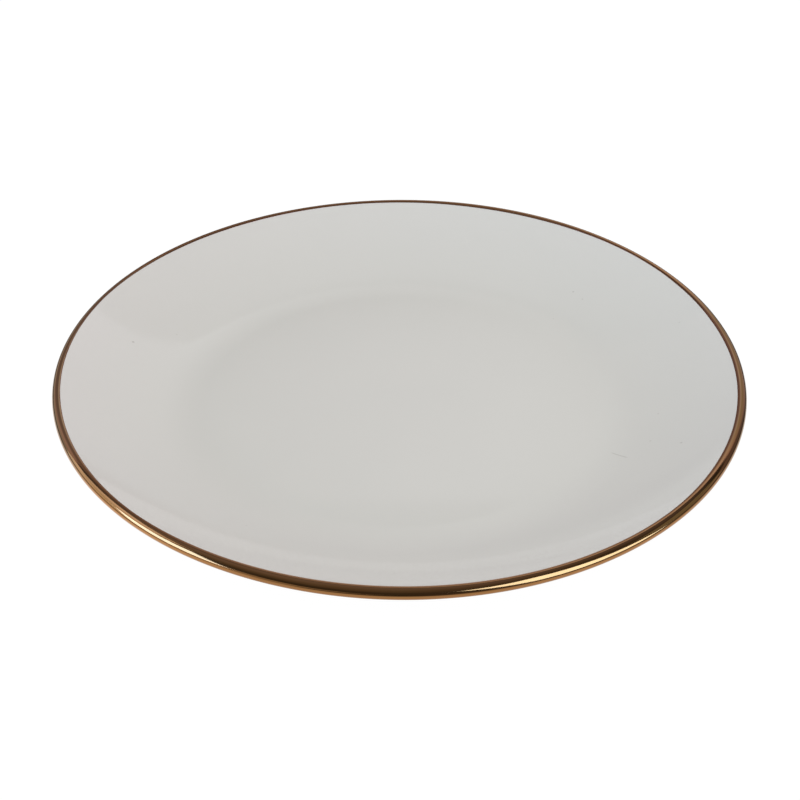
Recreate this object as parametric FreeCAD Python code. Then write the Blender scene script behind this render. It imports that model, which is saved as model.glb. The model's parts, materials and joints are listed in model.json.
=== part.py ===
"""A coupe dinner plate in glazed china with a gold-lined lip.

Millimetres, +Z up. The origin is the middle of the plate, on the plane that the foot ring stands on.
The plate is round, so every piece is a half section in the XZ plane turned once about Z.
"""

import FreeCAD, Part
import math
import os

# Size over glaze and gold
PLATE_DIAMETER = 265.0
LIP_THICKNESS = 4.5
LIP_CENTRE_HEIGHT = 20.9

# Coats
GLAZE_THICKNESS = 0.3
GOLD_THICKNESS = 0.1

# The dish, over its glaze: a flat middle, a well that falls gently away from it, a bend up out of
# the well, and the wall that goes on from the bend
WELL_HEIGHT = 7.6
WELL_FLAT_RADIUS = 22.0
WELL_EDGE_RADIUS = 76.3
WELL_FALL_ANGLE = 4.4
BEND_RADIUS = 52.0
BEND_ANGLE = 15.0

# The underside, bare: slope of the wall where it meets the lip, and where its curve meets the foot
UNDERSIDE_LIP_SLOPE = 35.0
UNDERSIDE_ROOT_RADIUS = 81.5
UNDERSIDE_ROOT_HEIGHT = 2.8

# The foot ring, bare: it stands on the flat between its two rounded corners
FOOT_OUTER_RADIUS = 80.0
FOOT_WIDTH = 3.4
FOOT_RECESS_DEPTH = 2.6
FOOT_CORNER_RADIUS = 0.7
FOOT_ROOT_FILLET = 1.6

# Height up the foot ring that is wiped clean of glaze, so that the plate doesn't stick in the kiln
WIPED_HEIGHT = 0.9

BARE_LIP_RADIUS = LIP_THICKNESS / 2 - GOLD_THICKNESS - GLAZE_THICKNESS
LIP_CENTRE_RADIUS = PLATE_DIAMETER / 2 - LIP_THICKNESS / 2
BARE_WELL_HEIGHT = WELL_HEIGHT - GLAZE_THICKNESS
FALL_RADIUS = (WELL_EDGE_RADIUS - WELL_FLAT_RADIUS) / math.sin(math.radians(WELL_FALL_ANGLE))
BARE_FALL_RADIUS = FALL_RADIUS - GLAZE_THICKNESS
BARE_BEND_RADIUS = BEND_RADIUS + GLAZE_THICKNESS
FOOT_INNER_RADIUS = FOOT_OUTER_RADIUS - FOOT_WIDTH


def point(radius, height):
    return FreeCAD.Vector(radius, 0, height)


def polar(centre, radius, angle):
    """The point at an angle, in degrees from +X towards +Z, on a circle in the section plane."""
    turn = math.radians(angle)
    return centre + point(radius * math.cos(turn), radius * math.sin(turn))


def arc(centre, radius, start, end):
    middle = polar(centre, radius, (start + end) / 2)
    return Part.Arc(polar(centre, radius, start), middle, polar(centre, radius, end)).toShape()


def line(start, end):
    return Part.LineSegment(start, end).toShape()


def direction(start, end):
    """Angle in degrees of the way from one point to another."""
    way = end - start
    return math.degrees(math.atan2(way.z, way.x))


LIP_CENTRE = point(LIP_CENTRE_RADIUS, LIP_CENTRE_HEIGHT)
FALL_CENTRE = point(WELL_FLAT_RADIUS, WELL_HEIGHT - FALL_RADIUS)
BEND_CENTRE = polar(FALL_CENTRE, FALL_RADIUS + BEND_RADIUS, 90 - WELL_FALL_ANGLE)


def wall_circle():
    """Centre and bare radius of the dish wall: it runs on from the bend and touches the lip's round."""
    bend_end = polar(BEND_CENTRE, BARE_BEND_RADIUS, BEND_ANGLE - 90)
    inward = polar(point(0, 0), 1, BEND_ANGLE + 90)
    reach = bend_end - LIP_CENTRE
    spare = reach.dot(reach) - BARE_LIP_RADIUS ** 2
    radius = spare / (2 * (BARE_LIP_RADIUS - reach.dot(inward)))
    return bend_end + inward * radius, radius


def underside_circle():
    """Centre and bare radius of the underside: it wraps the lip's round and runs in to the foot's root."""
    inward = polar(point(0, 0), 1, UNDERSIDE_LIP_SLOPE + 90)
    reach = LIP_CENTRE - point(UNDERSIDE_ROOT_RADIUS, UNDERSIDE_ROOT_HEIGHT)
    spare = reach.dot(reach) - BARE_LIP_RADIUS ** 2
    gap = spare / (2 * (BARE_LIP_RADIUS - reach.dot(inward)))
    return LIP_CENTRE + inward * gap, gap + BARE_LIP_RADIUS


def foot_fillet_centre():
    """Centre of the hollow fillet between the foot's outer side and the underside."""
    centre, radius = underside_circle()
    across = FOOT_OUTER_RADIUS + FOOT_ROOT_FILLET
    drop = math.sqrt((radius + FOOT_ROOT_FILLET) ** 2 - (across - centre.x) ** 2)
    return point(across, centre.z - drop)


def lip_arc(coat):
    """The full round of the lip, from the dish wall over the top and down to the underside."""
    wall_centre, _ = wall_circle()
    return arc(LIP_CENTRE, BARE_LIP_RADIUS + coat, direction(LIP_CENTRE, wall_centre), UNDERSIDE_LIP_SLOPE - 90)


def dish_edges(coat):
    """Flat middle, fall, bend, wall and lip, from the axis outwards."""
    wall_centre, wall_radius = wall_circle()
    flat_edge = polar(FALL_CENTRE, BARE_FALL_RADIUS + coat, 90)
    return [
        line(point(0, flat_edge.z), flat_edge),
        arc(FALL_CENTRE, BARE_FALL_RADIUS + coat, 90, 90 - WELL_FALL_ANGLE),
        arc(BEND_CENTRE, BARE_BEND_RADIUS - coat, -90 - WELL_FALL_ANGLE, BEND_ANGLE - 90),
        arc(wall_centre, wall_radius - coat, BEND_ANGLE - 90, direction(wall_centre, LIP_CENTRE)),
        lip_arc(coat),
    ]


def underside_edges(coat):
    """The underside, from the lip inwards to the foot's outer side."""
    centre, radius = underside_circle()
    fillet_centre = foot_fillet_centre()
    root = direction(centre, fillet_centre)
    return [
        arc(centre, radius + coat, UNDERSIDE_LIP_SLOPE - 90, root),
        arc(fillet_centre, FOOT_ROOT_FILLET - coat, root + 180, 180),
    ]


def foot_edges(coat):
    """The foot ring and the recess inside it, from the foot's outer side to the axis."""
    outer_corner = point(FOOT_OUTER_RADIUS - FOOT_CORNER_RADIUS, FOOT_CORNER_RADIUS)
    inner_corner = point(FOOT_INNER_RADIUS + FOOT_CORNER_RADIUS, FOOT_CORNER_RADIUS)
    corner = FOOT_CORNER_RADIUS + coat
    recess_corner = point(FOOT_INNER_RADIUS - FOOT_ROOT_FILLET, FOOT_RECESS_DEPTH - FOOT_ROOT_FILLET)
    hollow = FOOT_ROOT_FILLET - coat
    return [
        line(polar(foot_fillet_centre(), hollow, 180), polar(outer_corner, corner, 0)),
        arc(outer_corner, corner, 0, -90),
        line(polar(outer_corner, corner, -90), polar(inner_corner, corner, -90)),
        arc(inner_corner, corner, -90, -180),
        line(polar(inner_corner, corner, -180), polar(recess_corner, hollow, 0)),
        arc(recess_corner, hollow, 0, 90),
        line(polar(recess_corner, hollow, 90), point(0, FOOT_RECESS_DEPTH - coat)),
    ]


def half_section(coat):
    """Half section of the plate, with its outline standing out from the bare body by a coat."""
    axis = line(point(0, FOOT_RECESS_DEPTH - coat), point(0, BARE_WELL_HEIGHT + coat))
    return Part.Face(Part.Wire(dish_edges(coat) + underside_edges(coat) + foot_edges(coat) + [axis]))


def wiped_section():
    """The strip round the foot's bearing edge where there is no glaze."""
    inner = FOOT_INNER_RADIUS - 2 * GLAZE_THICKNESS
    outer = FOOT_OUTER_RADIUS + 2 * GLAZE_THICKNESS
    low = -2 * GLAZE_THICKNESS
    corners = [point(inner, low), point(outer, low), point(outer, WIPED_HEIGHT), point(inner, WIPED_HEIGHT)]
    return Part.Face(Part.makePolygon(corners + corners[:1]))


def turned(section):
    return section.revolve(FreeCAD.Vector(0, 0, 0), FreeCAD.Vector(0, 0, 1), 360)


def porcelain_body():
    """The bare china body with its foot ring, in one piece."""
    return turned(half_section(0))


def glaze_sections():
    """The two coats that the wiped foot keeps apart: the recess coat first, then the outer coat."""
    coats = half_section(GLAZE_THICKNESS).cut([half_section(0), wiped_section()]).Faces
    return sorted(coats, key=lambda coat: coat.BoundBox.XMax)


def foot_recess_glaze():
    """The coat on the recess inside the foot ring."""
    return turned(glaze_sections()[0])


def outer_glaze():
    """The coat over the dish, round the lip, and down the underside to the foot's wiped edge."""
    return turned(glaze_sections()[1])


def gold_rim_band():
    """The fired gold on top of the glaze, over the whole round of the lip."""
    under = lip_arc(GLAZE_THICKNESS)
    over = lip_arc(GLAZE_THICKNESS + GOLD_THICKNESS)
    dish_side, under_side = (line(a.Point, b.Point) for a, b in zip(under.Vertexes, over.Vertexes))
    return turned(Part.Face(Part.Wire([under, under_side, over, dish_side])))


def main():
    os.makedirs("parts", exist_ok=True)
    pieces = {
        "porcelain_body": porcelain_body(),
        "outer_glaze": outer_glaze(),
        "foot_recess_glaze": foot_recess_glaze(),
        "gold_rim_band": gold_rim_band(),
    }
    for name, shape in pieces.items():
        shape.exportStep(os.path.join("parts", name + ".step"))
        box = shape.optimalBoundingBox(False, False)
        print(name, shape.ShapeType, "valid", shape.isValid(), "cm3", round(shape.Volume / 1000, 3))
        print("    across", round(box.XLength, 2), "from", round(box.ZMin, 2), "to", round(box.ZMax, 2))


main()
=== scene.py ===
"""Looks of the gold-lined china dinner plate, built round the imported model. Lengths are in metres."""

import json
import math

import bmesh
import bpy
from mathutils import Matrix, Vector, noise


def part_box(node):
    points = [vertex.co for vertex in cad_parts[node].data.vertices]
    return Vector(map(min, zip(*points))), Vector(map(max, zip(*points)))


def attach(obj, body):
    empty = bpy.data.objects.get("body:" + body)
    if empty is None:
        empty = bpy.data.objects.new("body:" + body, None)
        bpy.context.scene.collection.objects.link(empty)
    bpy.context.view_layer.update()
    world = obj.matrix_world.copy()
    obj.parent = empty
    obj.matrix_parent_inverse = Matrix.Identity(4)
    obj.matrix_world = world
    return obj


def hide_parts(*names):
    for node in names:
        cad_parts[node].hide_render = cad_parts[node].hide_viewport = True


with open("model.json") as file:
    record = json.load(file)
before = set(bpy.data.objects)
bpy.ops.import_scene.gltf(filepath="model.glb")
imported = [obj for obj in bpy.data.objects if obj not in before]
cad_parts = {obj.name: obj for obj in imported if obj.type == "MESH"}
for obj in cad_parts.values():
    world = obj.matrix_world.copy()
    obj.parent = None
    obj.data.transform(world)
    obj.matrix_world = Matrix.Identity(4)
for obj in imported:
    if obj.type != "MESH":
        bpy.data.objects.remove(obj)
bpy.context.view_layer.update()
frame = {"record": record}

MM = 0.001

# ---------------------------------------------------------------- sizes

# Read from the frame
RIM_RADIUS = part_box("gold_rim_band")[1].x
RIM_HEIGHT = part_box("gold_rim_band")[1].z
WIPED_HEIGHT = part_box("outer_glaze")[0].z
FOOT_INNER_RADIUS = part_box("foot_recess_glaze")[1].x
FOOT_RECESS_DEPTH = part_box("foot_recess_glaze")[1].z
MOUNTS = {mount["name"]: mount for mount in frame["record"]["mounts"]}
WELL_HEIGHT = MOUNTS["well_face"]["pos_m"][2]

# The rest of the section that the frame is turned from
LIP_RADIUS = 2.25 * MM
GLAZE = 0.3 * MM
GOLD = 0.1 * MM
WELL_FLAT_RADIUS = 22 * MM
WELL_EDGE_RADIUS = 76.3 * MM
WELL_FALL_ANGLE = 4.4
BEND_RADIUS = 52 * MM
BEND_ANGLE = 15
UNDERSIDE_LIP_SLOPE = 35
UNDERSIDE_ROOT = (81.5 * MM, 2.8 * MM)
FOOT_OUTER_RADIUS = 80 * MM
FOOT_CORNER_RADIUS = 0.7 * MM
FOOT_ROOT_FILLET = 1.6 * MM

LIP_CENTRE = (RIM_RADIUS - LIP_RADIUS, RIM_HEIGHT - LIP_RADIUS)
BARE_LIP_RADIUS = LIP_RADIUS - GOLD - GLAZE
GLAZED_LIP_RADIUS = LIP_RADIUS - GOLD
BARE_BEND_RADIUS = BEND_RADIUS + GLAZE
FALL_RADIUS = (WELL_EDGE_RADIUS - WELL_FLAT_RADIUS) / math.sin(math.radians(WELL_FALL_ANGLE))
FALL_CENTRE = (WELL_FLAT_RADIUS, WELL_HEIGHT - FALL_RADIUS)

# Fineness of the meshes
SEGMENTS = 480
CHORD_ERROR = 0.002 * MM
FLAT_STEP = 3 * MM

# The least turn of a section, in degrees, that is shaded as a sharp edge
SHARP_TURN = 35

# How far the firing has warped the rim: a saddle, level with the frame at its two high points
SADDLE = 0.53 * MM


# ---------------------------------------------------------------- the half section

def polar(centre, radius, angle):
    """The point at an angle, in degrees from the radius towards the height, on a circle."""
    turn = math.radians(angle)
    return centre[0] + radius * math.cos(turn), centre[1] + radius * math.sin(turn)


def arc(centre, radius, start, end):
    """Points along an arc, both ends included, as many as keep the chords within CHORD_ERROR."""
    steps = math.ceil(abs(math.radians(end - start)) / math.sqrt(8 * CHORD_ERROR / radius))
    return [polar(centre, radius, start + (end - start) * i / steps) for i in range(steps + 1)]


def line(start, end):
    """Points along a straight line, both ends included."""
    steps = math.ceil(math.dist(start, end) / FLAT_STEP)
    return [tuple(a + (b - a) * i / steps for a, b in zip(start, end)) for i in range(steps + 1)]


def direction(start, end):
    """Angle in degrees of the way from one point to another."""
    return math.degrees(math.atan2(end[1] - start[1], end[0] - start[0]))


def touching_circle(through, inward_angle, sign):
    """Centre and radius of the circle through a point that touches the bare lip's round.

    The centre lies at inward_angle from the point (sign 1) or from the lip's centre (sign -1).
    """
    unit = polar((0, 0), 1, inward_angle)
    reach = [sign * (a - b) for a, b in zip(through, LIP_CENTRE)]
    along = reach[0] * unit[0] + reach[1] * unit[1]
    spare = reach[0] ** 2 + reach[1] ** 2 - BARE_LIP_RADIUS ** 2
    length = spare / (2 * (BARE_LIP_RADIUS - along))
    start = through if sign > 0 else LIP_CENTRE
    centre = (start[0] + unit[0] * length, start[1] + unit[1] * length)
    return centre, length if sign > 0 else length + BARE_LIP_RADIUS


BEND_CENTRE = polar(FALL_CENTRE, FALL_RADIUS + BEND_RADIUS, 90 - WELL_FALL_ANGLE)
BEND_END = polar(BEND_CENTRE, BARE_BEND_RADIUS, BEND_ANGLE - 90)
WALL_CENTRE, BARE_WALL_RADIUS = touching_circle(BEND_END, BEND_ANGLE + 90, 1)
UNDERSIDE_CENTRE, BARE_UNDERSIDE_RADIUS = touching_circle(UNDERSIDE_ROOT, UNDERSIDE_LIP_SLOPE + 90, -1)
LIP_START = direction(LIP_CENTRE, WALL_CENTRE)
LIP_END = UNDERSIDE_LIP_SLOPE - 90
FILLET_ACROSS = FOOT_OUTER_RADIUS + FOOT_ROOT_FILLET
FILLET_REACH = BARE_UNDERSIDE_RADIUS + FOOT_ROOT_FILLET
FILLET_DROP = math.sqrt(FILLET_REACH ** 2 - (FILLET_ACROSS - UNDERSIDE_CENTRE[0]) ** 2)
FILLET_CENTRE = (FILLET_ACROSS, UNDERSIDE_CENTRE[1] - FILLET_DROP)
OUTER_CORNER = (FOOT_OUTER_RADIUS - FOOT_CORNER_RADIUS, FOOT_CORNER_RADIUS)
INNER_CORNER = (FOOT_INNER_RADIUS + FOOT_CORNER_RADIUS, FOOT_CORNER_RADIUS)
RECESS_CORNER = (FOOT_INNER_RADIUS - FOOT_ROOT_FILLET, FOOT_RECESS_DEPTH - FOOT_ROOT_FILLET)


def joined(*strokes):
    """One list of points from strokes that meet end to end."""
    points = list(strokes[0])
    for stroke in strokes[1:]:
        points += stroke[1:]
    return points


def dish_side(coat):
    """From the axis over the well, bend, wall and lip, then back under the plate to the foot's fillet."""
    fall_radius = FALL_RADIUS - GLAZE + coat
    flat_edge = polar(FALL_CENTRE, fall_radius, 90)
    root = direction(UNDERSIDE_CENTRE, FILLET_CENTRE)
    return joined(
        line((0, flat_edge[1]), flat_edge),
        arc(FALL_CENTRE, fall_radius, 90, 90 - WELL_FALL_ANGLE),
        arc(BEND_CENTRE, BARE_BEND_RADIUS - coat, -90 - WELL_FALL_ANGLE, BEND_ANGLE - 90),
        arc(WALL_CENTRE, BARE_WALL_RADIUS - coat, BEND_ANGLE - 90, direction(WALL_CENTRE, LIP_CENTRE)),
        arc(LIP_CENTRE, BARE_LIP_RADIUS + coat, LIP_START, LIP_END),
        arc(UNDERSIDE_CENTRE, BARE_UNDERSIDE_RADIUS + coat, LIP_END, root),
        arc(FILLET_CENTRE, FOOT_ROOT_FILLET - coat, root + 180, 180),
    )


def recess_side(coat, lowest):
    """From a height on the foot's inner side up round the recess's fillet to the axis."""
    hollow = FOOT_ROOT_FILLET - coat
    return joined(
        line((FOOT_INNER_RADIUS - coat, lowest), polar(RECESS_CORNER, hollow, 0)),
        arc(RECESS_CORNER, hollow, 0, 90),
        line(polar(RECESS_CORNER, hollow, 90), (0, FOOT_RECESS_DEPTH - coat)),
    )


def body_section():
    """The bare china, round the foot's bearing edge and back to the axis."""
    return joined(
        dish_side(0),
        line(polar(FILLET_CENTRE, FOOT_ROOT_FILLET, 180), polar(OUTER_CORNER, FOOT_CORNER_RADIUS, 0)),
        arc(OUTER_CORNER, FOOT_CORNER_RADIUS, 0, -90),
        line(polar(OUTER_CORNER, FOOT_CORNER_RADIUS, -90), polar(INNER_CORNER, FOOT_CORNER_RADIUS, -90)),
        arc(INNER_CORNER, FOOT_CORNER_RADIUS, -90, -180),
        recess_side(0, FOOT_CORNER_RADIUS),
    )


def outer_glaze_section():
    """Out over the glazed surface, across the wiped edge, and back along the bare china."""
    over = dish_side(GLAZE)
    under = dish_side(0)
    over_end = (over[-1][0], WIPED_HEIGHT)
    under_end = (under[-1][0], WIPED_HEIGHT)
    return joined(
        over,
        line(over[-1], over_end),
        line(over_end, under_end),
        line(under_end, under[-1]),
        under[::-1],
    )


def recess_glaze_section():
    """Out along the bare china of the recess, across the wiped edge, and back over the glazed surface."""
    over = recess_side(GLAZE, WIPED_HEIGHT)
    under = recess_side(0, WIPED_HEIGHT)
    return joined(under[::-1], line(under[0], over[0]), over)


# ---------------------------------------------------------------- meshes

def warped(radius, angle, height):
    """A point of the round plate after the rim's saddle warp, which fades out at the foot."""
    share = max(0.0, (radius - FOOT_OUTER_RADIUS) / (RIM_RADIUS - FOOT_OUTER_RADIUS))
    lift = SADDLE * share ** 2 * (math.sin(2 * angle) - 1)
    return Vector((radius * math.cos(angle), radius * math.sin(angle), height + lift))


def sharp_turn(before, here, after):
    """Whether a section turns too sharply at a point to be shaded smooth."""
    turn = abs(direction(before, here) - direction(here, after)) % 360
    return min(turn, 360 - turn) > SHARP_TURN


def finished_object(name, builder, look):
    """A closed piece from a bmesh, facing outwards, riding on the plate."""
    bmesh.ops.recalc_face_normals(builder, faces=builder.faces)
    mesh = bpy.data.meshes.new(name)
    builder.to_mesh(mesh)
    builder.free()
    mesh.materials.append(look)
    piece = bpy.data.objects.new(name, mesh)
    bpy.context.scene.collection.objects.link(piece)
    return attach(piece, "root")


def turned_piece(name, section, look):
    """A solid of revolution from a section that starts and ends on the axis."""
    builder = bmesh.new()
    angles = [2 * math.pi * k / SEGMENTS for k in range(SEGMENTS)]
    rings = []
    for radius, height in section:
        if radius < CHORD_ERROR:
            rings.append([builder.verts.new((0, 0, height))] * SEGMENTS)
        else:
            rings.append([builder.verts.new(warped(radius, angle, height)) for angle in angles])
    for ring, following in zip(rings, rings[1:]):
        for k in range(SEGMENTS):
            corners = [ring[k - 1], ring[k], following[k], following[k - 1]]
            builder.faces.new(list(dict.fromkeys(corners))).smooth = True
    for i in range(1, len(section) - 1):
        if sharp_turn(*section[i - 1:i + 2]):
            for k in range(SEGMENTS):
                builder.edges.get((rings[i][k - 1], rings[i][k])).smooth = False
    return finished_object(name, builder, look)


def lip_point(along, raised):
    """A point over the glazed lip: along the surface from the crown, inwards positive, and raised off it."""
    angle = 90 + math.degrees(along / GLAZED_LIP_RADIUS)
    if angle <= LIP_START:
        return polar(LIP_CENTRE, GLAZED_LIP_RADIUS + raised, angle)
    past = along - math.radians(LIP_START - 90) * GLAZED_LIP_RADIUS
    wall_radius = BARE_WALL_RADIUS - GLAZE
    back = math.degrees(past / wall_radius)
    return polar(WALL_CENTRE, wall_radius - raised, LIP_START - 180 - back)


# ---------------------------------------------------------------- the gold line

# The gold line's two edges, along the surface from the crown of the lip. The line was brushed on a
# little off centre: LINE_SHIFT_X is how much wider it is on the +X side, LINE_SHIFT_Y on the -Y side.
LINE_INNER = 1.22 * MM
LINE_OUTER = -5.4 * MM
LINE_SHIFT_X = 0.37 * MM
LINE_SHIFT_Y = 0.15 * MM

# Unevenness of the two edges: waves in a turn, seed, and how many times LINE_WOBBLE. The gain brings
# the noise to about -1 to 1.
LINE_WOBBLE = 0.07 * MM
INNER_WOBBLES = ((9, 3.1, 1.0), (40, 7.7, 0.5), (130, 1.3, 0.25))
OUTER_WOBBLES = ((7, 5.9, 2.0), (50, 8.8, 0.8))
NOISE_GAIN = 1.6

# Where the brush pressed harder or slipped: place round the rim in degrees from +X, how much wider the
# line gets in the dish, in mm, and how far the touch reaches either way, in degrees
LINE_TOUCHES = (
    (-135, -0.38, 8), (-105, 0.10, 16), (-45, -0.38, 9), (0, -0.15, 10), (38, -0.32, 11),
    (68, 0.24, 14), (122, 0.36, 18), (157, -0.25, 11), (195, 0.20, 14),
)

# Rows of the mesh on the line's face and again on its back, closer together near the edges. Then its
# steps round the rim, how far in from an edge it starts to thin, and how thick it is at the edge.
LINE_ROWS = 44
LINE_SEGMENTS = 2 * SEGMENTS
LINE_EDGE = 0.12 * MM
LINE_EDGE_GOLD = 0.02 * MM


def wobble(angle, wobbles):
    """How far the hand left an edge of the line from its even course, at one place round the rim."""
    total = 0.0
    for waves, seed, share in wobbles:
        reach = waves / (2 * math.pi)
        spot = Vector((math.cos(angle) * reach, math.sin(angle) * reach, seed))
        total += share * NOISE_GAIN * noise.noise(spot)
    return LINE_WOBBLE * total


def brush_touches(angle):
    """How much wider the brush left the line at one place round the rim."""
    wider = 0.0
    for place_round, height, reach in LINE_TOUCHES:
        away = (math.degrees(angle) - place_round + 180) % 360 - 180
        wider += height * MM * math.exp(-0.5 * (away / reach) ** 2)
    return wider


def line_edges(angle):
    """Where the gold line starts in the dish and ends under the lip, at one place round the rim."""
    shift = LINE_SHIFT_X * math.cos(angle) - LINE_SHIFT_Y * math.sin(angle)
    inner = LINE_INNER + shift + wobble(angle, INNER_WOBBLES) + brush_touches(angle)
    return inner, LINE_OUTER + wobble(angle, OUTER_WOBBLES)


def gold_line(name, look):
    """The thin gold skin over the lip, closed all round. It keeps each point's distance from both edges."""
    builder = bmesh.new()
    inner_layer = builder.verts.layers.float.new("from_inner_edge")
    outer_layer = builder.verts.layers.float.new("from_outer_edge")
    loops = []
    for k in range(LINE_SEGMENTS):
        angle = 2 * math.pi * k / LINE_SEGMENTS
        inner, outer = line_edges(angle)
        loop = []
        for side in (1, 0):
            for i in range(LINE_ROWS):
                share = 0.5 - 0.5 * math.cos(math.pi * (i / (LINE_ROWS - 1)))
                share = share if side else 1 - share
                along = inner + (outer - inner) * share
                edge = min(inner - along, along - outer)
                full = min(1.0, max(0.0, edge / LINE_EDGE))
                raised = side * (LINE_EDGE_GOLD + (GOLD - LINE_EDGE_GOLD) * math.sqrt(full * (2 - full)))
                radius, height = lip_point(along, raised)
                vertex = builder.verts.new(warped(radius, angle, height))
                vertex[inner_layer] = (inner - along) / MM
                vertex[outer_layer] = (along - outer) / MM
                loop.append(vertex)
        loops.append(loop)
    around = len(loops[0])
    for k, loop in enumerate(loops):
        before = loops[k - 1]
        for i in range(around):
            builder.faces.new([before[i - 1], before[i], loop[i], loop[i - 1]]).smooth = True
        for i in (0, LINE_ROWS - 1, LINE_ROWS, around - 1):
            builder.edges.get((before[i], loop[i])).smooth = False
    return finished_object(name, builder, look)


# ---------------------------------------------------------------- node trees

# The Mix node has sockets for each kind of data; these are its factor and two colours, and the result
COLOUR_MIX_INPUTS = (0, 6, 7)
COLOUR_MIX_OUTPUT = 2

# Most of a noise's values lie between these two
NOISE_RANGE = (0.3, 0.7)


class Nodes:
    """Short calls that build one node tree. A socket takes a number, a colour or another node's output."""

    def __init__(self, tree):
        self.tree = tree
        tree.nodes.clear()

    def plug(self, socket, value):
        """Link or set one socket."""
        if isinstance(value, bpy.types.NodeSocket):
            self.tree.links.new(value, socket)
        else:
            socket.default_value = value

    def add(self, kind, sockets=None, **settings):
        """A new node of a kind, with its input sockets by name and its settings."""
        node = self.tree.nodes.new("ShaderNode" + kind)
        for key, value in settings.items():
            setattr(node, key, value)
        for key, value in (sockets or {}).items():
            self.plug(node.inputs[key], value)
        return node

    def math(self, operation, *values):
        """One step of arithmetic on numbers."""
        node = self.add("Math", operation=operation)
        for socket, value in zip(node.inputs, values):
            self.plug(socket, value)
        return node.outputs[0]

    def vector(self, operation, *values):
        """One step of arithmetic on vectors. Its result is a number for a dot product or a length."""
        node = self.add("VectorMath", operation=operation)
        for socket, value in zip(node.inputs, values):
            self.plug(socket, value)
        measured = operation in ("DOT_PRODUCT", "LENGTH", "DISTANCE")
        return node.outputs["Value" if measured else "Vector"]

    def scaled(self, vector, factor):
        """A vector or colour times a number."""
        node = self.add("VectorMath", {"Vector": vector, "Scale": factor}, operation="SCALE")
        return node.outputs["Vector"]

    def ramp(self, value, low, high, start=0.0, end=1.0):
        """A smooth step of a value, from start at low to end at high. High may be the lesser of the two."""
        sockets = {"Value": value, "From Min": low, "From Max": high, "To Min": start, "To Max": end}
        return self.add("MapRange", sockets, interpolation_type="SMOOTHSTEP").outputs["Result"]

    def noise(self, vector, size, detail=2.0, roughness=0.5):
        """Noise from 0 to 1 with features of about this size, in metres."""
        sockets = {"Vector": vector, "Scale": 1 / size, "Detail": detail, "Roughness": roughness}
        return self.add("TexNoise", sockets).outputs["Fac"]

    def mix(self, factor, first, second):
        """The first colour at factor 0, and the second at 1."""
        node = self.add("Mix", data_type="RGBA")
        for index, value in zip(COLOUR_MIX_INPUTS, (factor, first, second)):
            self.plug(node.inputs[index], value)
        return node.outputs[COLOUR_MIX_OUTPUT]

    def blend(self, factor, first, second):
        """The first shader at factor 0, and the second at 1."""
        node = self.add("MixShader", {"Fac": factor})
        self.plug(node.inputs[1], first)
        self.plug(node.inputs[2], second)
        return node.outputs[0]

    def bump(self, height, distance, normal=None):
        """The normal of a surface that a height from 0 to 1 raises by up to a distance."""
        sockets = {"Height": height, "Distance": distance, "Strength": 1.0}
        if normal:
            sockets["Normal"] = normal
        return self.add("Bump", sockets).outputs["Normal"]


def new_material(name):
    """A new material, and its empty node tree."""
    made = bpy.data.materials.new(name)
    made.use_nodes = True
    return made, Nodes(made.node_tree)


def place(nodes):
    """Where a point is on the object, in metres."""
    return nodes.add("TexCoord").outputs["Object"]


# ---------------------------------------------------------------- glaze

# Marks in the glaze of the dish, in mm from the middle: iron specks (x, y, radius, strength), and a
# hair mark (x, y of its two ends)
IRON_SPECKS = (
    (-107, 30.2, 0.75, 0.30), (73, 74.2, 0.6, 0.22), (76.5, 69, 0.5, 0.2), (105, -35.9, 0.7, 0.22),
    (94.6, -29.1, 0.55, 0.18), (99.4, -12, 0.5, 0.16), (-91, 42, 0.5, 0.14), (64, 60, 0.45, 0.14),
    (113, 40, 0.5, 0.14), (-54, -80, 0.5, 0.12),
)
HAIR_MARK = ((79.3, -32.4), (85.7, -37.8))

# Share of a speck's radius that is fully dark, and the same for the hair mark's half length. Then how
# dark the hair mark is, and how far to its side, in mm, it starts to fade and is gone.
SPECK_CORE = 0.3
HAIR_CORE = 0.6
HAIR_STRENGTH = 0.22
HAIR_SIDES = (0.1, 0.4)

# Two tones of off-white, and the colours of the pin specks and of the marks above
GLAZE_TONES = ((0.775, 0.770, 0.735, 1), (0.795, 0.787, 0.750, 1))
PIN_SPECK_COLOUR = (0.30, 0.26, 0.20, 1)
KILN_MARK_COLOUR = (0.24, 0.21, 0.17, 1)
MOTTLE_SIZE = 28 * MM

# Pin specks: their spacing, where one fades as a share of that, how they are chosen, and their strength
PIN_SPECK_SPACING = 15 * MM
PIN_SPECK_FADE = (0.008, 0.016)
PIN_SPECK_CHOICE = (0.55, 0.6)
PIN_SPECK_STRENGTH = 0.5

# The glaze's surface: slow swells, a finer skin, and gloss
SWELL_SIZE = 26 * MM
SWELL_HEIGHT = 0.05 * MM
SKIN_SIZE = 5 * MM
SKIN_HEIGHT = 0.004 * MM
GLOSS_PATCH_SIZE = 12 * MM
GLAZE_ROUGHNESS = (0.05, 0.09)
GLAZE_IOR = 1.52


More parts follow.
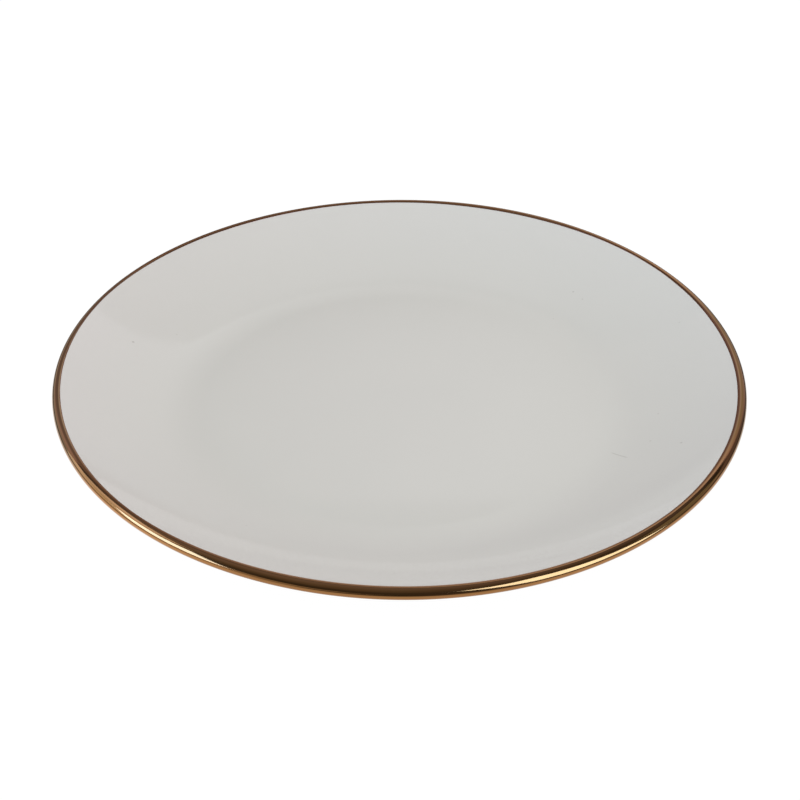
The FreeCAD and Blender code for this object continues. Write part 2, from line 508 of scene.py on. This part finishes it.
def kiln_marks(nodes, where):
    """How dark the specks and the hair mark are, on the dish side only."""
    flat = nodes.vector("MULTIPLY", where, (1 / MM, 1 / MM, 0))
    strength = 0.0
    for x, y, radius, dark in IRON_SPECKS:
        away = nodes.vector("DISTANCE", flat, (x, y, 0))
        strength = nodes.math("MAXIMUM", strength, nodes.ramp(away, SPECK_CORE * radius, radius, dark, 0.0))
    start, end = (Vector((*spot, 0)) for spot in HAIR_MARK)
    half = (end - start).length / 2
    along = (end - start).normalized()
    aside = along.cross(Vector((0, 0, 1)))
    offset = nodes.vector("SUBTRACT", flat, tuple((start + end) / 2))
    run = nodes.math("ABSOLUTE", nodes.vector("DOT_PRODUCT", offset, tuple(along)))
    side = nodes.math("ABSOLUTE", nodes.vector("DOT_PRODUCT", offset, tuple(aside)))
    lengthways = nodes.ramp(run, HAIR_CORE * half, half, HAIR_STRENGTH, 0.0)
    hair = nodes.math("MULTIPLY", lengthways, nodes.ramp(side, *HAIR_SIDES, 1.0, 0.0))
    facing = nodes.add("SeparateXYZ", {"Vector": nodes.add("NewGeometry").outputs["Normal"]}).outputs["Z"]
    marks = nodes.math("MAXIMUM", strength, hair)
    return nodes.math("MULTIPLY", marks, nodes.math("GREATER_THAN", facing, 0.0))


def pin_specks(nodes, where):
    """How dark the pin specks are: one in the middle of some cells of a random pattern."""
    cells = nodes.add("TexVoronoi", {"Vector": where, "Scale": 1 / PIN_SPECK_SPACING, "Randomness": 1.0})
    speck = nodes.ramp(cells.outputs["Distance"], *PIN_SPECK_FADE, 1.0, 0.0)
    lot = nodes.add("SeparateColor", {"Color": cells.outputs["Color"]}).outputs[0]
    chosen = nodes.ramp(lot, *PIN_SPECK_CHOICE)
    return nodes.math("MULTIPLY", nodes.math("MULTIPLY", speck, chosen), PIN_SPECK_STRENGTH)


def glaze_material():
    """Glossy off-white glaze: the faintest mottle, a few pin specks, and a skin that is not quite flat."""
    made, nodes = new_material("white_glaze")
    where = place(nodes)
    colour = nodes.mix(nodes.noise(where, MOTTLE_SIZE, detail=3.0), *GLAZE_TONES)
    colour = nodes.mix(pin_specks(nodes, where), colour, PIN_SPECK_COLOUR)
    colour = nodes.mix(kiln_marks(nodes, where), colour, KILN_MARK_COLOUR)
    swell = nodes.bump(nodes.noise(where, SWELL_SIZE, detail=1.0), SWELL_HEIGHT)
    skin = nodes.bump(nodes.noise(where, SKIN_SIZE, detail=1.0), SKIN_HEIGHT, swell)
    gloss_patch = nodes.noise(where, GLOSS_PATCH_SIZE, detail=4.0)
    shader = nodes.add("BsdfPrincipled", {
        "Base Color": colour, "Roughness": nodes.ramp(gloss_patch, *NOISE_RANGE, *GLAZE_ROUGHNESS),
        "IOR": GLAZE_IOR, "Normal": skin,
    })
    nodes.add("OutputMaterial", {"Surface": shader.outputs[0]})
    return made


# ---------------------------------------------------------------- gold

# The two tones of patchy gold over the lip, and the brighter gold on the line's dish side: a painted
# reflection of the bright dish. Then a pair of painted reflections for each of the plate's +X and -X
# ends: gold on the dish side, and gold over the lip.
GOLD_TONES = ((0.37, 0.175, 0.062, 1), (0.42, 0.205, 0.076, 1))
GOLD_DISH_SIDE_PAINTED_REFLECTION = (0.62, 0.31, 0.15, 1)
GOLD_RIGHT_PAINTED_REFLECTIONS = ((0.74, 0.42, 0.26, 1), (0.31, 0.168, 0.06, 1))
GOLD_LEFT_PAINTED_REFLECTIONS = ((0.68, 0.43, 0.25, 1), (0.30, 0.18, 0.09, 1))

# Where each dish-side painted reflection gives way to the tone over the lip, in mm from the line's inner
# edge
DISH_REFLECTION_REACH = (1.7, 2.8)
RIGHT_DISH_REFLECTION_REACH = (0.9, 1.7)
LEFT_DISH_REFLECTION_REACH = (1.8, 3.4)

# Where the painted reflections of the two ends come in, along X
RIGHT_PAINTED_REFLECTION_SPAN = (112 * MM, 128 * MM)
LEFT_PAINTED_REFLECTION_SPAN = (-104 * MM, -128 * MM)

# The thin brown-purple fringe at the inner edge, and the worn outer edge: colour, and reach in mm. The
# fringe's reach wanders a little.
FRINGE_COLOUR = (0.29, 0.115, 0.075, 1)
FRINGE_REACH = (0.12, 0.5)
FRINGE_WANDER = (0.2, 0.8, -0.08, 0.08)
WORN_COLOUR = (0.27, 0.13, 0.06, 1)
WORN_REACH = (0.0, 0.3)

# Streaks along the rim: their length, the step through the noise that each mm across the line takes, and
# their height
STREAK_SIZE = 9 * MM
STREAK_CHANGE = 40 * MM
STREAK_HEIGHT = 0.004 * MM
PATCH_SIZE = 7 * MM

# Roughness of the fringe, of full gold, and what a streak adds
FRINGE_ROUGHNESS = 0.3
GOLD_ROUGHNESS = 0.075
STREAK_ROUGHNESS = 0.05


def gold_colour_with_painted_reflections(nodes, where, inner, patch):
    """The gold's colour away from the line's two edges, with painted reflections on its dish side and by the
    +X and -X ends.
    """
    sideways = nodes.add("SeparateXYZ", {"Vector": where}).outputs["X"]
    colour = nodes.mix(patch, *GOLD_TONES)
    # Painted reflection: gold on the dish side is made brighter, as if it showed the bright dish
    colour = nodes.mix(nodes.ramp(inner, *DISH_REFLECTION_REACH), GOLD_DISH_SIDE_PAINTED_REFLECTION, colour)
    # Painted reflections: other gold tones by the plate's +X and -X ends, for the room seen there
    right = nodes.mix(nodes.ramp(inner, *RIGHT_DISH_REFLECTION_REACH), *GOLD_RIGHT_PAINTED_REFLECTIONS)
    colour = nodes.mix(nodes.ramp(sideways, *RIGHT_PAINTED_REFLECTION_SPAN), colour, right)
    left = nodes.mix(nodes.ramp(inner, *LEFT_DISH_REFLECTION_REACH), *GOLD_LEFT_PAINTED_REFLECTIONS)
    return nodes.mix(nodes.ramp(sideways, *LEFT_PAINTED_REFLECTION_SPAN), colour, left)


def gold_material():
    """Bright gold brushed on by hand: streaks along the rim, a thin brown-purple edge in the dish, and
    painted reflections in its colour.
    """
    made, nodes = new_material("bright_gold")
    where = place(nodes)
    inner = nodes.add("Attribute", attribute_name="from_inner_edge").outputs["Fac"]
    outer = nodes.add("Attribute", attribute_name="from_outer_edge").outputs["Fac"]
    across = nodes.add("CombineXYZ", {"X": inner}).outputs[0]
    stretched = nodes.vector("ADD", where, nodes.scaled(across, STREAK_CHANGE))
    streak = nodes.noise(stretched, STREAK_SIZE, detail=3.0, roughness=0.6)
    patch = nodes.noise(where, PATCH_SIZE, detail=3.0)
    cover = nodes.ramp(nodes.math("ADD", inner, nodes.ramp(patch, *FRINGE_WANDER)), *FRINGE_REACH)
    # The gold's colour under the fringe carries those painted reflections
    colour = nodes.mix(cover, FRINGE_COLOUR, gold_colour_with_painted_reflections(nodes, where, inner, patch))
    colour = nodes.mix(nodes.ramp(outer, *WORN_REACH), WORN_COLOUR, colour)
    smoother = nodes.ramp(cover, 0.0, 1.0, FRINGE_ROUGHNESS, GOLD_ROUGHNESS)
    rough = nodes.math("ADD", smoother, nodes.ramp(streak, *NOISE_RANGE, 0.0, STREAK_ROUGHNESS))
    shader = nodes.add("BsdfPrincipled", {
        "Base Color": colour, "Metallic": 1.0, "Roughness": rough,
        "Normal": nodes.bump(streak, STREAK_HEIGHT),
    })
    nodes.add("OutputMaterial", {"Surface": shader.outputs[0]})
    return made


# ---------------------------------------------------------------- bare china

# Two tones of unglazed china, its grain, and its roughness from the low to the high side of the grain
BARE_TONES = ((0.66, 0.63, 0.57, 1), (0.76, 0.74, 0.69, 1))
GRAIN_SIZE = 0.35 * MM
GRAIN_HEIGHT = 0.03 * MM
BARE_ROUGHNESS = (0.2, 0.8, 0.6, 0.8)

# Scuffs on the foot: their colour, the heights between which they fade, and how patchy they are
SCUFF_COLOUR = (0.50, 0.48, 0.45, 1)
SCUFF_HEIGHTS = (0.02 * MM, 0.35 * MM)
SCUFF_SIZE = 9 * MM
SCUFF_PATCHES = (0.35, 0.75, 0.15, 0.8)


def bare_china_material():
    """Unglazed vitrified china: dry, very fine grain, greyed on the edge that slides on tables."""
    made, nodes = new_material("bare_china")
    where = place(nodes)
    height = nodes.add("SeparateXYZ", {"Vector": where}).outputs["Z"]
    grain = nodes.noise(where, GRAIN_SIZE, detail=3.0)
    low = nodes.ramp(height, *SCUFF_HEIGHTS, 1.0, 0.0)
    patches = nodes.ramp(nodes.noise(where, SCUFF_SIZE, detail=3.0), *SCUFF_PATCHES)
    scuffs = nodes.math("MULTIPLY", low, patches)
    colour = nodes.mix(scuffs, nodes.mix(grain, *BARE_TONES), SCUFF_COLOUR)
    shader = nodes.add("BsdfPrincipled", {
        "Base Color": colour, "Roughness": nodes.ramp(grain, *BARE_ROUGHNESS),
        "Normal": nodes.bump(grain, GRAIN_HEIGHT),
    })
    nodes.add("OutputMaterial", {"Surface": shader.outputs[0]})
    return made


# ---------------------------------------------------------------- studio light

# Shading light: its even part, what is added towards +X and towards +Y, and what is added low down, with
# the power that this fades by as the light comes from higher up
SHADE_EVEN = (0.733, 0.740, 0.705)
SHADE_X = (0.054, -0.012, -0.041)
SHADE_Y = (-0.145, -0.193, -0.202)
SHADE_LOW = (0.50, 0.42, 0.66)
SHADE_LOW_POWER = 2.0

# What the camera sees beyond the floor
BACKDROP_WHITE = (1.0, 1.0, 1.0, 1.0)

# Edges in the mirrored room: the wall's foot and top, and the foot of what is above the dark gap over
# it. Each has its elevation over +Y in degrees, how much it climbs towards +X, and its blur.
WALL_FOOT = (6.5, -0.2, 0.05)
WALL_TOP = (45.1, -0.03, 0.014)
OVER_GAP = (53, 0.0, 0.14)

# How bright the room's parts are. A negative part takes away.
DIM_ROOM = (0.04, 0.04, 0.04)
UNDER_WALL = (0.36, 0.36, 0.34)
WALL_LEFT = (0.11, 0.085, 0.085)
WALL_RIGHT = (0.52, 0.55, 0.55)
WALL_FAR_LEFT = (0.22, 0.18, 0.18)
WALL_FAR_RIGHT = (0.0, -0.12, 0.0)
UPPER_WALL = (0.04, 0.04, 0.04)
CEILING = (0.03, 0.03, 0.03)
CEILING_LEFT = (0.09, 0.09, 0.09)

# Where the wall's parts begin and are full, as across over ahead. WALL_END also says how bright the wall
# is before and after it falls into shadow on the right.
WALL_MIDDLE = (-0.2, 0.25)
FAR_LEFT_REACH = (-1.1, -0.5)
FAR_RIGHT_REACH = (0.1, 1.2)
WALL_END = (0.85, 1.2, 1.0, 0.33)

# Where the ceiling's parts begin and are full, as parts of a direction of length 1
CEILING_RISE = (0.815, 0.984)
CEILING_LEFT_RISE = (0.51, 0.86)
CEILING_LEFT_REACH = (-0.35, 0.8)

# The least that a direction counts as ahead, so that nothing is divided by zero
BARELY_AHEAD = 0.001

# Softboxes that only the gold shows: azimuth, elevation, tilt, half width, half height, brightness. The
# halves are in units of the softbox's distance, and tilt turns it in its own plane.
SOFTBOX_DISTANCE = 4.0
SOFTBOXES = (
    ("right", 126, 15, 59, 0.62, 0.35, (2.8, 4.2, 6.2)),
    ("left", -113, 5, -27, 0.27, 0.52, (2.8, 4.7, 8.8)),
    ("far_left", -80, 20, 0, 0.30, 0.60, (0.70, 0.80, 0.85)),
    ("far_right", 84, 21, 0, 0.25, 0.30, (0.21, 0.26, 0.24)),
)


def compass(azimuth, elevation):
    """A direction of length 1: azimuth 0 is +Y, 90 is +X."""
    turn = math.radians(azimuth)
    rise = math.radians(elevation)
    return Vector((math.sin(turn) * math.cos(rise), math.cos(turn) * math.cos(rise), math.sin(rise)))


def wall_edge(nodes, axes, elevation, climb, blur):
    """From 0 below to 1 above a straight edge on the wall beyond the plate."""
    ahead = nodes.math("MAXIMUM", axes.outputs["Y"], BARELY_AHEAD)
    height = nodes.math("SUBTRACT", axes.outputs["Z"], nodes.math("MULTIPLY", axes.outputs["X"], climb))
    edge = math.tan(math.radians(elevation))
    return nodes.ramp(nodes.math("DIVIDE", height, ahead), edge - blur, edge + blur)


def even_light(nodes, axes):
    """Shading light: nearly even, stronger low down and warmer from +X."""
    light = nodes.vector("ADD", SHADE_EVEN, nodes.scaled(SHADE_X, axes.outputs["X"]))
    light = nodes.vector("ADD", light, nodes.scaled(SHADE_Y, axes.outputs["Y"]))
    low = nodes.math("POWER", nodes.math("SUBTRACT", 1.0, axes.outputs["Z"]), SHADE_LOW_POWER)
    return nodes.vector("ADD", light, nodes.scaled(SHADE_LOW, low))


def mirrored_room(nodes, axes):
    """What the shiny surfaces show: a dim room with a pale wall beyond the plate, and a ceiling."""
    ahead = nodes.math("MAXIMUM", axes.outputs["Y"], BARELY_AHEAD)
    across = nodes.math("DIVIDE", axes.outputs["X"], ahead)
    over_floor = wall_edge(nodes, axes, *WALL_FOOT)
    over_wall = wall_edge(nodes, axes, *WALL_TOP)
    wall = nodes.math("MULTIPLY", over_floor, nodes.math("SUBTRACT", 1.0, over_wall))
    wall = nodes.math("MULTIPLY", wall, nodes.ramp(across, *WALL_END))
    ceiling_left = nodes.math("MULTIPLY", nodes.ramp(axes.outputs["Z"], *CEILING_LEFT_RISE),
                              nodes.ramp(axes.outputs["X"], *CEILING_LEFT_REACH, 1.0, 0.0))
    parts = (
        (UNDER_WALL, nodes.math("SUBTRACT", 1.0, over_floor)),
        (WALL_LEFT, nodes.math("MULTIPLY", wall, nodes.ramp(across, *WALL_MIDDLE, 1.0, 0.0))),
        (WALL_RIGHT, nodes.math("MULTIPLY", wall, nodes.ramp(across, *WALL_MIDDLE))),
        (WALL_FAR_RIGHT, nodes.math("MULTIPLY", wall, nodes.ramp(across, *FAR_RIGHT_REACH))),
        (WALL_FAR_LEFT, nodes.math("MULTIPLY", wall, nodes.ramp(across, *FAR_LEFT_REACH, 1.0, 0.0))),
        (UPPER_WALL, wall_edge(nodes, axes, *OVER_GAP)),
        (CEILING, nodes.ramp(axes.outputs["Z"], *CEILING_RISE)),
        (CEILING_LEFT, ceiling_left),
    )
    seen = DIM_ROOM
    for colour, amount in parts:
        seen = nodes.vector("ADD", seen, nodes.scaled(colour, amount))
    return seen


def studio_light():
    """Even soft light for shading, the dim room for what shines, and white for the camera."""
    world = bpy.data.worlds.new("studio")
    bpy.context.scene.world = world
    world.use_nodes = True
    world.cycles.sampling_method = "NONE"
    nodes = Nodes(world.node_tree)
    axes = nodes.add("SeparateXYZ", {"Vector": nodes.add("TexCoord").outputs["Generated"]})
    path = nodes.add("LightPath")
    shade = nodes.add("Background", {"Color": even_light(nodes, axes)}).outputs[0]
    shine = nodes.add("Background", {"Color": mirrored_room(nodes, axes)}).outputs[0]
    backdrop = nodes.add("Background", {"Color": BACKDROP_WHITE}).outputs[0]
    lit = nodes.blend(path.outputs["Is Glossy Ray"], shade, shine)
    lit = nodes.blend(path.outputs["Is Camera Ray"], lit, backdrop)
    nodes.add("OutputWorld", {"Surface": lit})


def softbox(name, azimuth, elevation, tilt, half_width, half_height, brightness, shown_by):
    """A rectangular area light that only the pieces in one collection are lit by."""
    ahead = compass(azimuth, elevation)
    level = compass(azimuth + 90, 0)
    turn = math.radians(tilt)
    across = level * math.cos(turn) + level.cross(ahead) * math.sin(turn)
    data = bpy.data.lights.new("softbox_" + name, "AREA")
    data.shape = "RECTANGLE"
    data.size = 2 * half_width * SOFTBOX_DISTANCE
    data.size_y = 2 * half_height * SOFTBOX_DISTANCE
    strongest = max(brightness)
    data.color = [part / strongest for part in brightness]
    data.energy = strongest * math.pi * data.size * data.size_y
    panel = bpy.data.objects.new("softbox_" + name, data)
    bpy.context.scene.collection.objects.link(panel)
    facing = Matrix((across, ahead.cross(across), ahead)).transposed().to_4x4()
    panel.matrix_world = Matrix.Translation(ahead * SOFTBOX_DISTANCE) @ facing
    panel.visible_camera = False
    panel.visible_diffuse = False
    panel.light_linking.receiver_collection = shown_by


def gold_lights(gold):
    """The softboxes that the gold shows, and the glaze doesn't."""
    shown_by = bpy.data.collections.new("shows_softboxes")
    shown_by.objects.link(gold)
    for panel in SOFTBOXES:
        softbox(*panel, shown_by)


# ---------------------------------------------------------------- floor and camera

# How bright the floor is in reflections: far off, near the plate, and on its -X and +X sides. Then as
# light on the plate, and to the eye, as a glow and as what it returns of the sky's light.
FLOOR_FAR = 0.05
FLOOR_NEAR = 0.8
FLOOR_LEFT = 0.4
FLOOR_RIGHT = 0.1
FLOOR_SHADE = 0.45
FLOOR_GLOW = 0.95
FLOOR_PAPER = 0.10

# Where those parts of its reflection fade, in metres: from the middle, along X, and along Y
FLOOR_NEAR_FADE = (0.155, 0.23)
FLOOR_LEFT_FADE = (-0.05, -0.13)
FLOOR_RIGHT_FADE = (0.02, 0.10)
FLOOR_FRONT_FADE = (0.0, 0.12)

FLOOR_HALF_WIDTH = 30
FLOOR_DROP = 0.02 * MM

# What the camera is aimed at and how far off it is, its elevation and roll in degrees, its lens and
# sensor in mm, and the nearest and furthest that it sees
CAMERA_AIM = (0.21 * MM, -19.96 * MM, LIP_CENTRE[1] - SADDLE)
CAMERA_DISTANCE = 0.7
CAMERA_ELEVATION = 35.12
CAMERA_ROLL = 0.29
CAMERA_LENS = 83.56
CAMERA_SENSOR = 36.0
CAMERA_NEAR = 0.01
CAMERA_FAR = 100


def mirrored_floor(nodes, where):
    """How bright the floor is in reflections."""
    axes = nodes.add("SeparateXYZ", {"Vector": where})
    near = nodes.ramp(nodes.vector("LENGTH", where), *FLOOR_NEAR_FADE, FLOOR_NEAR, 0.0)
    left = nodes.ramp(axes.outputs["X"], *FLOOR_LEFT_FADE, 0.0, FLOOR_LEFT)
    right = nodes.ramp(axes.outputs["X"], *FLOOR_RIGHT_FADE, 0.0, FLOOR_RIGHT)
    front = nodes.ramp(axes.outputs["Y"], *FLOOR_FRONT_FADE, 1.0, 0.0)
    close = nodes.math("ADD", near, nodes.math("ADD", left, right))
    return nodes.math("ADD", nodes.math("MULTIPLY", close, front), FLOOR_FAR)


def paper_material():
    """White paper that glows to the eye, and can be seen through from below."""
    made, nodes = new_material("white_paper")
    made.cycles.emission_sampling = "NONE"
    path = nodes.add("LightPath")
    seen = nodes.add("Emission", {"Strength": mirrored_floor(nodes, place(nodes))}).outputs[0]
    shade = nodes.add("Emission", {"Strength": FLOOR_SHADE}).outputs[0]
    glow = nodes.add("Emission", {"Strength": FLOOR_GLOW}).outputs[0]
    paper = nodes.add("BsdfDiffuse", {"Color": (FLOOR_PAPER, FLOOR_PAPER, FLOOR_PAPER, 1)}).outputs[0]
    white = nodes.add("AddShader")
    nodes.plug(white.inputs[0], glow)
    nodes.plug(white.inputs[1], paper)
    lit = nodes.blend(path.outputs["Is Glossy Ray"], shade, seen)
    lit = nodes.blend(path.outputs["Is Camera Ray"], lit, white.outputs[0])
    clear = nodes.add("BsdfTransparent").outputs[0]
    below = nodes.add("NewGeometry").outputs["Backfacing"]
    nodes.add("OutputMaterial", {"Surface": nodes.blend(below, lit, clear)})
    return made


def floor():
    """A plain white floor, a hair below the foot. It is see-through from below, so that the foot shows."""
    builder = bmesh.new()
    far = FLOOR_HALF_WIDTH
    spots = ((-far, -far), (far, -far), (far, far), (-far, far))
    builder.faces.new([builder.verts.new((*spot, -FLOOR_DROP)) for spot in spots])
    mesh = bpy.data.meshes.new("floor")
    builder.to_mesh(mesh)
    builder.free()
    mesh.materials.append(paper_material())
    ground = bpy.data.objects.new("floor", mesh)
    bpy.context.scene.collection.objects.link(ground)


def camera():
    """The camera, looking along +Y and down at the plate."""
    data = bpy.data.cameras.new("camera")
    data.sensor_width = CAMERA_SENSOR
    data.lens = CAMERA_LENS
    data.clip_start = CAMERA_NEAR
    data.clip_end = CAMERA_FAR
    eye = bpy.data.objects.new("camera", data)
    bpy.context.scene.collection.objects.link(eye)
    bpy.context.scene.camera = eye
    back = compass(180, CAMERA_ELEVATION)
    level = Vector((1, 0, 0))
    turn = math.radians(CAMERA_ROLL)
    right = level * math.cos(turn) + back.cross(level) * math.sin(turn)
    facing = Matrix((right, back.cross(right), back)).transposed().to_4x4()
    eye.matrix_world = Matrix.Translation(Vector(CAMERA_AIM) + back * CAMERA_DISTANCE) @ facing


# ---------------------------------------------------------------- the plate

def plate():
    """The four pieces, each in the place of its CAD node, and the lights that only the gold shows."""
    glaze = glaze_material()
    body = turned_piece("china_body", body_section(), bare_china_material())
    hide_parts("porcelain_body")
    outer = turned_piece("glaze_over_plate", outer_glaze_section(), glaze)
    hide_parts("outer_glaze")
    recess = turned_piece("glaze_in_foot_recess", recess_glaze_section(), glaze)
    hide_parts("foot_recess_glaze")
    gold = gold_line("gold_line", gold_material())
    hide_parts("gold_rim_band")
    gold_lights(gold)


bpy.context.scene.view_settings.view_transform = "Standard"
camera()
studio_light()
floor()
plate()
